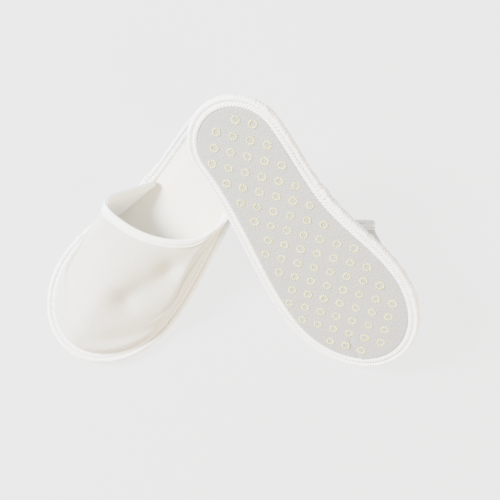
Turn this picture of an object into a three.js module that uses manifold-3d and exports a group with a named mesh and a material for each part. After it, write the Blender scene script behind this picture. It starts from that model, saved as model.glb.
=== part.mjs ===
import * as THREE from 'three';
import { mergeVertices } from 'three/addons/utils/BufferGeometryUtils.js';
import Module from 'manifold-3d';

// A pair of closed-toe spa slippers: one stands on its sole, the other lies turned over, sole up,
// with its little-toe side leaning on the first one's vamp. Millimetres, +Z up.
//
// Each slipper is built in its own frame: +Y runs from heel to toe, +X points to the big-toe side,
// +Z points up from the floor that the sole would stand on. Both are cut from one pattern.

const wasm = await Module();
wasm.setup();

// ---------------------------------------------------------------- driving dimensions

// sole outline
const SOLE_LENGTH = 285;
const BALL_WIDTH = 122;
const HEEL_WIDTH = 88;
const TOE_LENGTH = 77;         // from the widest line of the forefoot to the tip of the toe
const HEEL_SHIFT = 5.5;        // heel centre, towards the big-toe side
const WAIST_HOLLOW = 8;        // how deep the big-toe side curves in at the waist

// cloth and foam
const CLOTH = 0.8;
const TAPE = 0.9;
const FOAM = 4.2;
const PAD = 1.8;
const WADDING = 1.2;
const THREAD = 0.7;
const GAP = 0.3;               // clearance between neighbouring pieces, and between the two slippers

// sole binding
const BINDING_WIDTH = 9;
const TAPE_ROUND = 1.2;        // bevel of the tape's outer corners
const BINDING_LIFT = 1.4;      // the tape stays this far above the floor
const CLIMB_FOOT = 2.5;        // the outsole cloth climbs onto the tape from this far inside it
const CLIMB_HEAD = 0.4;        // to this far

// grip dots
const DOT_DIAMETER = 6.4;
const DOT_HEIGHT = 0.4;
const DOT_PITCH = 14.6;
const DOT_TURN = 46;           // the dots' rows, in degrees from straight across the slipper
const DOT_START = [1.9, 2.7];  // one dot, along and across those rows from the back of the heel
const DOT_MARGIN = 5.3;        // from the tape to the nearest dot's centre
const DOT_SIDES = 6;

// insole
const CROWN_MARGIN = 4.5;      // flat border between the tape and the padded middle
const CROWN_SLOPE = 4;
const PAD_MARGIN = 1.5;        // the pad stops this far inside the crown

// vamp
const FLANGE_INSET = 2.2;      // cloth edges inside the tape stop this far from the sole's edge
const WALL_INSET = 1.2;        // from the tape's inner edge to the foot of the vamp
const RIM_FOOT = 7;            // height of the vamp's ends where the rim starts
const WALL_BULGE = 2.5;
const WALL_BULGE_SHARE = 0.1;  // or this share of the wall's height, where that is less
const TOP_BULGE = 0.06;        // rise of the top's middle, as a share of its run

// vamp hem
const HEM_DEPTH = 7;
const HEM_STITCH = 0.65;       // the stitching's depth, as a share of the hem's
const HEM_GAP = 0.85;          // clearance round the hem, which turns sharp corners
const RIM_BORDER = 9;          // unpadded strip below the rim
const WADDING_TAPER = 11;      // strip next to it in which the lining closes up to the outer cloth
const BORDER_SHARE = 0.8;      // the most of a short cloth's run that the border may take
const TAPER_SHARE = 0.92;      // and that the border and the taper may take together
const CORNER_LEAD = 24;        // the sole's edge under a corner is this far nearer the toe
const FOLD_DROP = 10;          // the folds and the walls end this far below the rim's corners
const SHORT_SHARE = 0.85;      // or this share of the way down, where the wall or the hem's strip is shorter

// the lean of the turned slipper, in degrees
const STEEPEST_LEAN = 45;
const LEAN_STEP = 0.02;

// how fine the meshes are
const SOLE_STEPS = 48;
const VAMP_STEPS = 21;

// ---------------------------------------------------------------- heights in the sole, from the floor

const clothUnder = DOT_HEIGHT;
const clothOver = clothUnder + CLOTH;
const threadUnder = BINDING_LIFT - GAP - THREAD;
const tapeLegOver = BINDING_LIFT + TAPE;
const flangeUnder = tapeLegOver + GAP;
const flangeOver = flangeUnder + CLOTH;
const foamUnder = clothOver + GAP;
const foamOver = foamUnder + FOAM;
const foamEdgeUnder = flangeOver + GAP;
const insoleEdgeUnder = foamOver + GAP;
const insoleEdgeOver = insoleEdgeUnder + CLOTH;
const padUnder = foamOver + GAP;
const padOver = padUnder + PAD;
const insoleUnder = padOver + GAP;
const insoleOver = insoleUnder + CLOTH;
const vampFlangeUnder = insoleEdgeOver + GAP;
const vampFlangeOver = vampFlangeUnder + CLOTH;

// ---------------------------------------------------------------- the two slippers as they lie

// Heading and roll in degrees: roll turns the slipper over. The turned one lies on the floor with its heel
// lifted, and its little-toe edge leans on the outer corner of the upright one's rim. It touches there at
// leanPoint: [from the toe, in from the sole's edge, height in the sole].
// The vamp is given as it has settled. Its rim's two ends are distances from the toe. The other points are
// [from the toe, in from the sole's edge, height]: the rim's fold corners and the folds that run forward
// from them. The rim between the corners is [from the toe, share of half the ball width, height].
const slippers = [
  {
    name: 'upright',
    heading: 141.3,
    roll: 0,
    vamp: {
      innerEnd: 170,
      outerEnd: 201,
      innerCorner: [130, 1.3, 49],
      rim: [[130, 0.08, 56], [154, -0.54, 56]],
      outerCorner: [191, 0.5, 51],
      innerFold: [[86, 14, 36], [52, 14, 23]],
      toeFold: [16, 0, 20],
      outerFold: [[74, 12, 22], [125, 10, 37]],
    },
  },
  {
    name: 'turned',
    heading: 218.4,
    roll: 213.8,
    leanPoint: [193.8, 0.6, 9],
    vamp: {
      innerEnd: 172,
      outerEnd: 201,
      innerCorner: [113, 9, 47],
      rim: [[125, 0.36, 52], [142, -0.26, 52]],
      outerCorner: [181, 8, 44],
      innerFold: [[82, 14, 34], [51, 14, 23]],
      toeFold: [16, 0, 20],
      outerFold: [[74, 12, 21], [125, 10, 33]],
    },
  },
];

// ---------------------------------------------------------------- solids from points

// a closed body from its points and triangles, turned so that its faces point out
function solid(points, faces) {
  let volume = 0;
  for (const [a, b, c] of faces) {
    volume += points[a].dot(new THREE.Vector3().crossVectors(points[b], points[c]));
  }
  const index = volume < 0 ? faces.map(([a, b, c]) => [a, c, b]) : faces;
  const geometry = new THREE.BufferGeometry();
  geometry.setAttribute('position', new THREE.Float32BufferAttribute(points.flatMap(p => p.toArray()), 3));
  geometry.setIndex(index.flat());
  geometry.computeVertexNormals();
  return geometry;
}

// the two triangles of a four-cornered face, split along its shorter diagonal,
// so that neighbouring sheets of cloth are split alike and stay apart
function quad(points, a, b, c, d) {
  const across = points[a].distanceTo(points[c]) <= points[b].distanceTo(points[d]);
  return across ? [[a, b, c], [a, c, d]] : [[a, b, d], [b, c, d]];
}

// sections joined in order; a closed sweep joins the last to the first, an open one gets end faces
function sweep(sections, endFaces) {
  const size = sections[0].length;
  const points = sections.flat();
  const closed = endFaces === undefined;
  const joints = closed ? sections.length : sections.length - 1;
  const faces = [];
  for (let i = 0; i < joints; i++) {
    const here = i * size;
    const next = ((i + 1) % sections.length) * size;
    for (let k = 0; k < size; k++) {
      const other = (k + 1) % size;
      faces.push(...quad(points, here + k, here + other, next + other, next + k));
    }
  }
  if (!closed) {
    const last = (sections.length - 1) * size;
    for (const [a, b, c] of endFaces) {
      faces.push([a, c, b], [last + a, last + b, last + c]);
    }
  }
  return solid(points, faces);
}

// a sheet between two matching grids of points, grid[column][row]
function shell(outer, inner) {
  const columns = outer.length;
  const rows = outer[0].length;
  const count = columns * rows;
  const points = [...outer.flat(), ...inner.flat()];
  const at = (i, j) => i * rows + j;
  const faces = [];
  for (let i = 0; i + 1 < columns; i++) {
    for (let j = 0; j + 1 < rows; j++) {
      const corners = [at(i, j), at(i + 1, j), at(i + 1, j + 1), at(i, j + 1)];
      faces.push(...quad(points, ...corners));
      faces.push(...quad(points, ...corners.map(corner => corner + count)).map(face => face.reverse()));
    }
  }
  const border = [];
  for (let i = 0; i + 1 < columns; i++) border.push(at(i, 0));
  for (let j = 0; j + 1 < rows; j++) border.push(at(columns - 1, j));
  for (let i = columns - 1; i > 0; i--) border.push(at(i, rows - 1));
  for (let j = rows - 1; j > 0; j--) border.push(at(0, j));
  border.forEach((a, k) => {
    const b = border[(k + 1) % border.length];
    faces.push(...quad(points, b, a, a + count, b + count));
  });
  return solid(points, faces);
}

// ---------------------------------------------------------------- sole outline

const edge = soleEdge();

// anticlockwise from the widest point on the big-toe side, over the toe and round the heel
function soleEdge() {
  const ball = BALL_WIDTH / 2;
  const heel = HEEL_WIDTH / 2;
  const ballLine = SOLE_LENGTH - TOE_LENGTH;
  const waist = (heel + ballLine) / 2;
  const span = ballLine - heel;
  const reach = span / 3;
  const path = new THREE.Path();
  path.absellipse(0, ballLine, ball, TOE_LENGTH, 0, Math.PI);
  path.bezierCurveTo(-ball, ballLine - reach, HEEL_SHIFT - heel, heel + reach, HEEL_SHIFT - heel, heel);
  path.absarc(HEEL_SHIFT, heel, heel, Math.PI, 2 * Math.PI);
  path.bezierCurveTo(HEEL_SHIFT + heel, heel + reach, ball, ballLine - reach, ball, ballLine);
  const points = path.getSpacedPoints(4 * SOLE_STEPS).slice(0, -1).map(point => {
    const fromWaist = (point.y - waist) / span;
    const hollowed = point.x > 0 && Math.abs(fromWaist) < 0.5;
    const hollow = hollowed ? WAIST_HOLLOW * Math.cos(Math.PI * fromWaist) ** 2 : 0;
    return new THREE.Vector3(point.x - hollow, point.y, 0);
  });
  const curve = new THREE.CatmullRomCurve3(points, true);
  curve.arcLengthDivisions = 16 * SOLE_STEPS;
  return curve;
}

// a point inset from the sole's edge, at a fraction of the way round
function soleEdgePoint(fraction, inset, z) {
  const turn = THREE.MathUtils.euclideanModulo(fraction, 1);
  const at = edge.getPointAt(turn);
  const along = edge.getTangentAt(turn);
  return new THREE.Vector3(at.x - along.y * inset, at.y + along.x * inset, z);
}

// the fraction at which the edge passes a distance from the toe, on the big-toe (+1) or little-toe side (-1)
function fractionAt(side, fromToe) {
  const steps = 16 * SOLE_STEPS;
  let best = 0;
  let miss = Infinity;
  for (let i = 0; i < steps; i++) {
    const point = edge.getPointAt(i / steps);
    const far = Math.abs(SOLE_LENGTH - point.y - fromToe);
    if (Math.sign(point.x - HEEL_SHIFT) === side && far < miss) {
      best = i / steps;
      miss = far;
    }
  }
  return side > 0 && best > 0.5 ? best - 1 : best;
}

const soleFractions = Array.from({ length: SOLE_STEPS }, (_, i) => i / SOLE_STEPS);

// a sheet of the sole; section lists [inset, height] from the middle of its underside,
// round its edge, to the middle of its top
function soleLayer(section) {
  const rings = section.map(([inset, z]) => soleFractions.map(fraction => soleEdgePoint(fraction, inset, z)));
  const points = rings.flat();
  const faces = [];
  for (let here = 0; here < points.length - SOLE_STEPS; here += SOLE_STEPS) {
    for (let i = 0; i < SOLE_STEPS; i++) {
      const j = (i + 1) % SOLE_STEPS;
      faces.push(...quad(points, here + i, here + j, here + SOLE_STEPS + j, here + SOLE_STEPS + i));
    }
  }
  const last = points.length - SOLE_STEPS;
  const underCap = THREE.ShapeUtils.triangulateShape(rings[0].map(p => new THREE.Vector2(p.x, p.y)), []);
  const overCap = THREE.ShapeUtils.triangulateShape(rings.at(-1).map(p => new THREE.Vector2(p.x, p.y)), []);
  for (const [a, b, c] of underCap) faces.push([a, c, b]);
  for (const [a, b, c] of overCap) faces.push([last + a, last + b, last + c]);
  return solid(points, faces);
}

// ---------------------------------------------------------------- sole pieces

const stepInner = BINDING_WIDTH + CLIMB_FOOT;
const stepOuter = BINDING_WIDTH + CLIMB_HEAD;
const crownInner = BINDING_WIDTH + CROWN_MARGIN;
const crownOuter = crownInner + CROWN_SLOPE;

function outsoleCloth() {
  const cloth = soleLayer([
    [stepInner, clothUnder],
    [stepOuter, flangeUnder],
    [FLANGE_INSET, flangeUnder],
    [FLANGE_INSET, flangeOver],
    [stepOuter + GAP, flangeOver],
    [stepInner + GAP, clothOver],
  ]);
  return joined([cloth, ...gripDots()]);
}

// printed dots on a square lattice set askew to the slipper
function gripDots() {
  const border = soleFractions.map(fraction => soleEdgePoint(fraction, BINDING_WIDTH + DOT_MARGIN, 0));
  const root = CLOTH / 2;
  const reach = Math.ceil(SOLE_LENGTH / DOT_PITCH);
  const origin = new THREE.Vector2();
  const dots = [];
  for (let row = -reach; row <= reach; row++) {
    for (let column = -reach; column <= reach; column++) {
      const start = new THREE.Vector2(DOT_START[0] + row * DOT_PITCH, DOT_START[1] + column * DOT_PITCH);
      const { x, y } = start.rotateAround(origin, THREE.MathUtils.degToRad(DOT_TURN));
      if (!inside(border, x, y)) continue;
      const dot = new THREE.CylinderGeometry(DOT_DIAMETER / 2, DOT_DIAMETER / 2, DOT_HEIGHT + root, DOT_SIDES);
      dot.rotateX(Math.PI / 2);
      dot.translate(x, y, (DOT_HEIGHT + root) / 2);
      dots.push(dot);
    }
  }
  return dots;
}

function inside(loop, x, y) {
  let crossings = 0;
  loop.forEach((a, i) => {
    const b = loop[(i + 1) % loop.length];
    if ((a.y > y) !== (b.y > y) && x < a.x + (b.x - a.x) * (y - a.y) / (b.y - a.y)) crossings++;
  });
  return crossings % 2 === 1;
}

function bodyOf(geometry) {
  const plain = geometry.clone();
  plain.deleteAttribute('normal');
  plain.deleteAttribute('uv');
  const merged = mergeVertices(plain, 1e-4);
  return new wasm.Manifold(new wasm.Mesh({
    numProp: 3,
    vertProperties: new Float32Array(merged.attributes.position.array),
    triVerts: new Uint32Array(merged.index.array),
  }));
}

function joined(geometries) {
  const mesh = geometries.map(bodyOf).reduce((sum, body) => sum.add(body)).getMesh();
  const geometry = new THREE.BufferGeometry();
  geometry.setAttribute('position', new THREE.BufferAttribute(new Float32Array(mesh.vertProperties), 3));
  geometry.setIndex(new THREE.BufferAttribute(new Uint32Array(mesh.triVerts), 1));
  geometry.computeVertexNormals();
  return geometry;
}

function foamBoard() {
  return soleLayer([
    [stepInner + 2 * GAP, foamUnder],
    [stepOuter + 2 * GAP, foamEdgeUnder],
    [FLANGE_INSET, foamEdgeUnder],
    [FLANGE_INSET, foamOver],
  ]);
}

function insolePad() {
  return soleLayer([
    [crownInner + PAD_MARGIN, padUnder],
    [crownOuter + PAD_MARGIN, padOver],
  ]);
}

function insoleCloth() {
  return soleLayer([
    [crownOuter + GAP, insoleUnder],
    [crownInner + GAP, insoleEdgeUnder],
    [FLANGE_INSET, insoleEdgeUnder],
    [FLANGE_INSET, insoleEdgeOver],
    [crownInner, insoleEdgeOver],
    [crownOuter, insoleOver],
  ]);
}

// how much higher the tape's top leg runs where it also holds the vamp's edge
function vampLift(vamp, fraction) {
  const step = 1 / SOLE_STEPS;
  const from = fractionAt(1, vamp.innerEnd) - step;
  const to = fractionAt(-1, vamp.outerEnd) + step;
  const held = fraction < to || fraction - 1 > from;
  return held ? vampFlangeOver - insoleEdgeOver : 0;
}

function soleBinding(vamp) {
  return sweep(soleFractions.map(fraction => {
    const top = insoleEdgeOver + GAP + TAPE + vampLift(vamp, fraction);
    const section = [
      [BINDING_WIDTH, BINDING_LIFT],
      [TAPE_ROUND, BINDING_LIFT],
      [0, BINDING_LIFT + TAPE_ROUND],
      [0, top - TAPE_ROUND],
      [TAPE_ROUND, top],
      [BINDING_WIDTH, top],
      [BINDING_WIDTH, top - TAPE],
      [TAPE, top - TAPE],
      [TAPE, tapeLegOver],
      [BINDING_WIDTH, tapeLegOver],
    ];
    return section.map(([inset, z]) => soleEdgePoint(fraction, inset, z));
  }));
}

// a thread that runs round the sole along the middle of the tape
function bindingStitch(lowest) {
  return sweep(soleFractions.map(fraction => {
    const middle = BINDING_WIDTH / 2;
    const z = lowest(fraction);
    const half = THREAD / 2;
    const section = [[middle, z], [middle - half, z + half], [middle, z + THREAD], [middle + half, z + half]];
    return section.map(([inset, height]) => soleEdgePoint(fraction, inset, height));
  }));
}

// ---------------------------------------------------------------- vamp

const lerp = (a, b, t) => new THREE.Vector3().lerpVectors(a, b, t);
const INNER = 1;
const OUTER = -1;
const besideEdge = side => ([fromToe, inset, z]) => soleEdgePoint(fractionAt(side, fromToe), inset, z);
const overSole = ([fromToe, across, z]) => new THREE.Vector3(across * BALL_WIDTH / 2, SOLE_LENGTH - fromToe, z);
const FLANGE_ROW = 0;
const WALL_ROWS = [0, 0.35, 0.7];

// the vamp's outer face as a grid: columns run from the inner end of the rim over the toe to the outer end,
// rows from the flange under the tape up the wall, over the fold and up to the rim
function vampSurface(vamp) {
  const from = fractionAt(INNER, vamp.innerEnd);
  const to = fractionAt(OUTER, vamp.outerEnd);
  const foot = fraction => soleEdgePoint(fraction, BINDING_WIDTH + WALL_INSET, vampFlangeOver);
  const innerCorner = besideEdge(INNER)(vamp.innerCorner);
  const outerCorner = besideEdge(OUTER)(vamp.outerCorner);
  const cornerIn = share(fractionAt(INNER, vamp.innerCorner[0] - CORNER_LEAD), from, to);
  const cornerOut = share(fractionAt(OUTER, vamp.outerCorner[0] - CORNER_LEAD), from, to);
  const footAt = u => foot(THREE.MathUtils.lerp(from, to, u));
  const rimEnd = u => footAt(u).add(new THREE.Vector3(0, 0, RIM_FOOT));
  const rimCurve = new THREE.CatmullRomCurve3([
    rimEnd(0),
    innerCorner,
    ...vamp.rim.map(overSole),
    outerCorner,
    rimEnd(1),
  ]);
  const rimIn = nearestFraction(rimCurve, innerCorner);
  const rimOut = nearestFraction(rimCurve, outerCorner);
  const fold = new THREE.CatmullRomCurve3([
    towards(innerCorner, footAt(cornerIn), FOLD_DROP),
    ...vamp.innerFold.map(besideEdge(INNER)),
    overSole(vamp.toeFold),
    ...vamp.outerFold.map(besideEdge(OUTER)),
    towards(outerCorner, footAt(cornerOut), FOLD_DROP),
  ]);
  const columns = [];
  for (let i = 0; i < VAMP_STEPS; i++) {
    const u = i / (VAMP_STEPS - 1);
    const base = footAt(u);
    const between = THREE.MathUtils.clamp(share(u, cornerIn, cornerOut), 0, 1);
    let turn = THREE.MathUtils.lerp(rimIn, rimOut, between);
    if (u < cornerIn) turn = rimIn * u / cornerIn;
    if (u > cornerOut) turn = rimOut + (1 - rimOut) * share(u, cornerOut, 1);
    const rim = rimCurve.getPointAt(turn);
    const onTop = u > cornerIn && u < cornerOut;
    const crease = onTop ? fold.getPointAt(between) : towards(rim, base, FOLD_DROP);
    const fraction = THREE.MathUtils.lerp(from, to, u);
    columns.push({ points: vampColumn(fraction, base, crease, rim), padded: onTop, away: outwardAt(fraction) });
  }
  columns.forEach((column, i) => { column.normals = vampNormals(columns, i); });
  return columns;
}

const share = (value, from, to) => (value - from) / (to - from);

// the point a distance from a towards b, or most of the way where b is nearer
function towards(a, b, distance) {
  return lerp(a, b, Math.min(distance / a.distanceTo(b), SHORT_SHARE));
}

// where along a curve it passes nearest a point
function nearestFraction(curve, point) {
  const steps = 400;
  let best = 0;
  for (let i = 1; i <= steps; i++) {
    const nearer = curve.getPointAt(i / steps).distanceTo(point) < curve.getPointAt(best).distanceTo(point);
    if (nearer) best = i / steps;
  }
  return best;
}

// level, and straight out of the sole's edge
function outwardAt(fraction) {
  return soleEdgePoint(fraction, 0, 0).sub(soleEdgePoint(fraction, 1, 0));
}

function vampColumn(fraction, base, crease, rim) {
  const away = outwardAt(fraction);
  const height = crease.z - base.z;
  const wall = WALL_ROWS.map(t => {
    const bulge = Math.min(WALL_BULGE, WALL_BULGE_SHARE * height) * Math.sin(Math.PI * t);
    return lerp(base, crease, t).addScaledVector(away, bulge);
  });
  const run = crease.distanceTo(rim);
  const border = Math.min(RIM_BORDER, BORDER_SHARE * run);
  const taper = Math.min(RIM_BORDER + WADDING_TAPER, TAPER_SHARE * run);
  const tops = [0, 0.5, 1].map(t => t * (1 - taper / run));
  const over = [...tops, 1 - border / run, 1].map(t => {
    const lift = new THREE.Vector3(0, 0, TOP_BULGE * run * Math.sin(Math.PI * t));
    return lerp(crease, rim, t).add(lift);
  });
  return [soleEdgePoint(fraction, FLANGE_INSET, vampFlangeOver), ...wall, ...over];
}

function vampNormals(columns, i) {
  const before = columns[Math.max(i - 1, 0)].points;
  const after = columns[Math.min(i + 1, columns.length - 1)].points;
  const here = columns[i].points;
  return here.map((_, j) => {
    if (j === FLANGE_ROW) return new THREE.Vector3(0, 0, 1);
    if (j === FLANGE_ROW + 1) return columns[i].away;
    const along = after[j].clone().sub(before[j]);
    const up = here[Math.min(j + 1, here.length - 1)].clone().sub(here[Math.max(j - 1, FLANGE_ROW + 1)]);
    return along.cross(up).normalize();
  });
}

// the grid moved inwards by a depth given for each column and row
function inward(columns, depth) {
  return columns.map((column, i) => column.points.map((point, j) => {
    return point.clone().addScaledVector(column.normals[j], -depth(i, j));
  }));
}

// the sheets behind the outer cloth stand clear of its bend into the flange
const bendRoom = j => (j === FLANGE_ROW + 1 ? CLOTH / 2 : 0);

const bareDepth = CLOTH + GAP;
const paddedDepth = bareDepth + WADDING + GAP;

// how deep the lining's outer face lies: behind the wadding, or straight behind the outer cloth
function liningDepth(columns, i, j) {
  const lastPadded = columns[i].points.length - 3;
  return columns[i].padded && j <= lastPadded ? paddedDepth : bareDepth + bendRoom(j);
}

function vampOuter(columns) {
  const outer = inward(columns, () => 0);
  const inner = inward(columns, () => CLOTH);
  inner.forEach(column => { column[FLANGE_ROW + 1].z -= CLOTH / 2; });
  return shell(outer, inner);
}

function vampWadding(columns) {
  const first = columns.findIndex(column => column.padded);
  const last = columns.findLastIndex(column => column.padded);
  const cut = grid => grid.slice(first, last + 1).map(column => column.slice(FLANGE_ROW + 1, -2));
  const outer = inward(columns, (_, j) => bareDepth + bendRoom(j));
  const inner = inward(columns, () => bareDepth + WADDING);
  return shell(cut(outer), cut(inner));
}

function vampLining(columns) {
  const cut = grid => grid.map(column => column.slice(FLANGE_ROW + 1));
  const outer = inward(columns, (i, j) => liningDepth(columns, i, j));
  const inner = inward(columns, (i, j) => liningDepth(columns, i, j) + CLOTH);
  return shell(cut(outer), cut(inner));
}

// at each column of the rim: the rim point, the way up the cloth, the way out of it and the hem's depth
function rimFrames(columns) {
  return columns.map(column => {
    const rim = column.points.at(-1);
    const up = rim.clone().sub(column.points.at(-2)).normalize();
    const out = column.normals.at(-1);
    const depth = Math.min(HEM_DEPTH, SHORT_SHARE * rim.distanceTo(column.points.at(-2)));
    const at = (rise, lift) => rim.clone().addScaledVector(up, rise).addScaledVector(out, lift);
    return { at, depth };
  });
}

function vampHem(columns) {
  const outside = HEM_GAP;
  const inside = -bareDepth - CLOTH - HEM_GAP;
  const sections = rimFrames(columns).map(({ at, depth }) => [
    at(-depth, outside),
    at(-depth, outside + CLOTH),
    at(-depth * HEM_STITCH, outside + CLOTH),
    at(GAP + CLOTH, outside + CLOTH),
    at(GAP + CLOTH, inside - CLOTH),
    at(-depth, inside - CLOTH),
    at(-depth, inside),
    at(GAP, inside),
    at(GAP, outside),
  ]);
  const ends = [[0, 1, 2, 8], [8, 3, 4, 7], [7, 4, 5, 6]];
  return sweep(sections, [[2, 3, 8], ...ends.flatMap(corners => quad(sections[0], ...corners))]);
}

function hemStitch(columns) {
  const under = HEM_GAP + CLOTH + HEM_GAP;
  const half = THREAD / 2;
  const sections = rimFrames(columns).map(({ at, depth }) => {
    const line = -depth * HEM_STITCH;
    return [at(line, under), at(line + half, under + half), at(line, under + THREAD), at(line - half, under + half)];
  });
  return sweep(sections, quad(sections[0], 0, 1, 2, 3));
}

// ---------------------------------------------------------------- materials

const cloth = (color, roughness) => new THREE.MeshStandardMaterial({ color, roughness, metalness: 0 });
const materials = {
  outsole: cloth(0xdcdcd8, 0.95),
  foam: cloth(0xf2f2f0, 0.8),
  wadding: cloth(0xf7f7f5, 1),
  insole: cloth(0xf3f1e9, 0.95),
  outer: cloth(0xf4f3ee, 0.9),
  lining: cloth(0xf1efe8, 0.95),
  tape: cloth(0xf6f5f0, 0.85),
  thread: cloth(0xfafaf8, 0.7),
};

// ---------------------------------------------------------------- assembly

function slipper({ name, heading, roll, vamp }) {
  const group = new THREE.Group();
  const columns = vampSurface(vamp);
  const overTape = fraction => insoleEdgeOver + GAP + TAPE + GAP + vampLift(vamp, fraction);
  const pieces = {
    outsole_cloth: [outsoleCloth(), materials.outsole],
    foam_board: [foamBoard(), materials.foam],
    insole_pad: [insolePad(), materials.wadding],
    insole_cloth: [insoleCloth(), materials.insole],
    sole_binding: [soleBinding(vamp), materials.tape],
    binding_stitch_top: [bindingStitch(overTape), materials.thread],
    binding_stitch_under: [bindingStitch(() => threadUnder), materials.thread],
    vamp_outer: [vampOuter(columns), materials.outer],
    vamp_wadding: [vampWadding(columns), materials.wadding],
    vamp_lining: [vampLining(columns), materials.lining],
    vamp_hem: [vampHem(columns), materials.tape],
    hem_stitch: [hemStitch(columns), materials.thread],
  };
  for (const [piece, [geometry, material]] of Object.entries(pieces)) {
    const mesh = new THREE.Mesh(geometry, material);
    mesh.name = `${name}_${piece}`;
    group.add(mesh);
  }
  const { degToRad } = THREE.MathUtils;
  group.rotation.set(0, degToRad(roll), degToRad(heading), 'ZXY');
  group.updateMatrixWorld(true);
  return group;
}

// lifts the heel by an angle, over a point of the other slipper, and puts the lowest point just off the floor
function tilt(group, degrees, point, over) {
  group.rotation.x = -THREE.MathUtils.degToRad(degrees);
  group.position.set(0, 0, 0);
  group.updateMatrixWorld(true);
  const at = group.localToWorld(point.clone());
  const lowest = new THREE.Box3().setFromObject(group, true).min.z;
  group.position.set(over.x - at.x, over.y - at.y, GAP - lowest);
  group.updateMatrixWorld(true);
}

const bodiesOf = group => wasm.Manifold.compose(
  group.children.map(mesh => bodyOf(mesh.geometry.clone().applyMatrix4(mesh.matrixWorld))),
);

// halves the range of heel lifts until the slipper just clears the one it leans on
function lean(group, point, support, corner) {
  const supportBody = bodiesOf(support);
  const over = support.localToWorld(corner.clone());
  let low = 0;
  let high = STEEPEST_LEAN;
  while (high - low > LEAN_STEP) {
    const middle = (low + high) / 2;
    tilt(group, middle, point, over);
    if (bodiesOf(group).minGap(supportBody, 2 * GAP) < GAP) low = middle;
    else high = middle;
  }
  tilt(group, high, point, over);
}

const [upright, turned] = slippers.map(slipper);
const [under, over] = slippers;
lean(turned, besideEdge(OUTER)(over.leanPoint), upright, besideEdge(OUTER)(under.vamp.outerCorner));

// the origin is at the middle of the pair's footprint, on the floor
const pair = new THREE.Group().add(upright, turned);
const box = new THREE.Box3().setFromObject(pair, true);
pair.position.set(-(box.min.x + box.max.x) / 2, -(box.min.y + box.max.y) / 2, -box.min.z);

export default pair;
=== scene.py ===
"""A pair of closed-toe cloth spa slippers, one upright and one turned over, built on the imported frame.

Each slipper is shaped in its own frame, in millimetres: +Y from heel to toe, +X to the big-toe side,
+Z up from the floor its sole would stand on. Most sizes are those of the solids. The rim's ends start
lower than in the solids (RIM_FOOT), so that the hem leaves the tape cleanly.
"""
import math

import bmesh
import bpy
import numpy as np
from mathutils import Matrix, Vector


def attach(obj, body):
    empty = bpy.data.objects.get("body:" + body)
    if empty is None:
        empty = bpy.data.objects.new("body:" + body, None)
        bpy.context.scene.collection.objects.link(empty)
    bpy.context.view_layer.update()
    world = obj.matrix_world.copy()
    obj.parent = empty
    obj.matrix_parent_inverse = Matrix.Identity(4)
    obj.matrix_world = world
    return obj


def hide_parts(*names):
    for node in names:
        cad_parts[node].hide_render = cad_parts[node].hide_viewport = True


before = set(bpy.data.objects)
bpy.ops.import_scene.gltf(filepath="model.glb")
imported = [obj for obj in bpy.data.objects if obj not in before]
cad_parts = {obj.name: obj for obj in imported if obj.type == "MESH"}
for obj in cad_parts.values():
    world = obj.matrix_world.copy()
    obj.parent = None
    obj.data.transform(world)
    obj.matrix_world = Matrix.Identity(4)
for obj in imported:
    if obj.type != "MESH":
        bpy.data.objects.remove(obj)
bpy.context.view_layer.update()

# ---------------------------------------------------------------- sizes, in millimetres

SOLE_LENGTH = 285.0
BALL_WIDTH = 122.0
HEEL_WIDTH = 88.0
TOE_LENGTH = 77.0           # the half-oval front of the outline
HEEL_SHIFT = 5.5            # the heel's middle, towards the big-toe side
WAIST_HOLLOW = 8.0          # how far the big-toe side is cut in at the waist

INSOLE_EDGE = 6.8           # heights above the floor
INSOLE_TOP = 8.9
VAMP_FOOT = 7.9
TAPE_TOP = 8.0
TAPE_LIFT = 1.1             # the tape's rise over the vamp's edge
CROWN_MARGIN = 4.5          # from the tape to the footbed's cushion
CROWN_SLOPE = 4.0

CLOTH = 0.8
WADDING = 1.2
BINDING_WIDTH = 9.0
TAPE_GROOVE = 4.65          # from the sole's edge to the tape's stitches
TAPE_JOIN = 114.0           # where the tape's ends lap, from the heel on the big-toe side
STITCH_PITCH = 3.1
TAPE_THREAD = 0.7
MOUTH_THREAD = 0.5

WALL_INSET = 1.2            # from the tape's width to the vamp's foot
WALL_BULGE = 2.5
TOP_BULGE = 0.06            # share of the distance from the fold to the rim
RIM_FOOT = 4.0              # the rim's ends, over the vamp's foot
RIM_BORDER = 9.0            # the border round the mouth where the lining closes up to the outer cloth
CORNER_LEAD = 24.0          # how much nearer the toe the cloth below a rim corner meets the tape
FOLD_DROP = 10.0            # how far below the rim's corners the fold begins
LINING_START = 6.5          # from the vamp's edge under the tape to the lining's
HEM_DEPTH = 7.0
HEM_GROOVE = 4.75           # from the rim down to the mouth's stitches

DOT_PITCH = 14.6
DOT_TURN = 46.0             # degrees
DOT_START = (1.9, 2.7)      # where the lattice starts, in its own two directions
DOT_MARGIN = 5.3            # from the tape to the middle of the nearest grip mark
GRIP_RADIUS = 3.05
BEAD_RADIUS = 1.02
BEADS = 10                  # in each grip mark
BEAD_SIDES = 7

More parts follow.
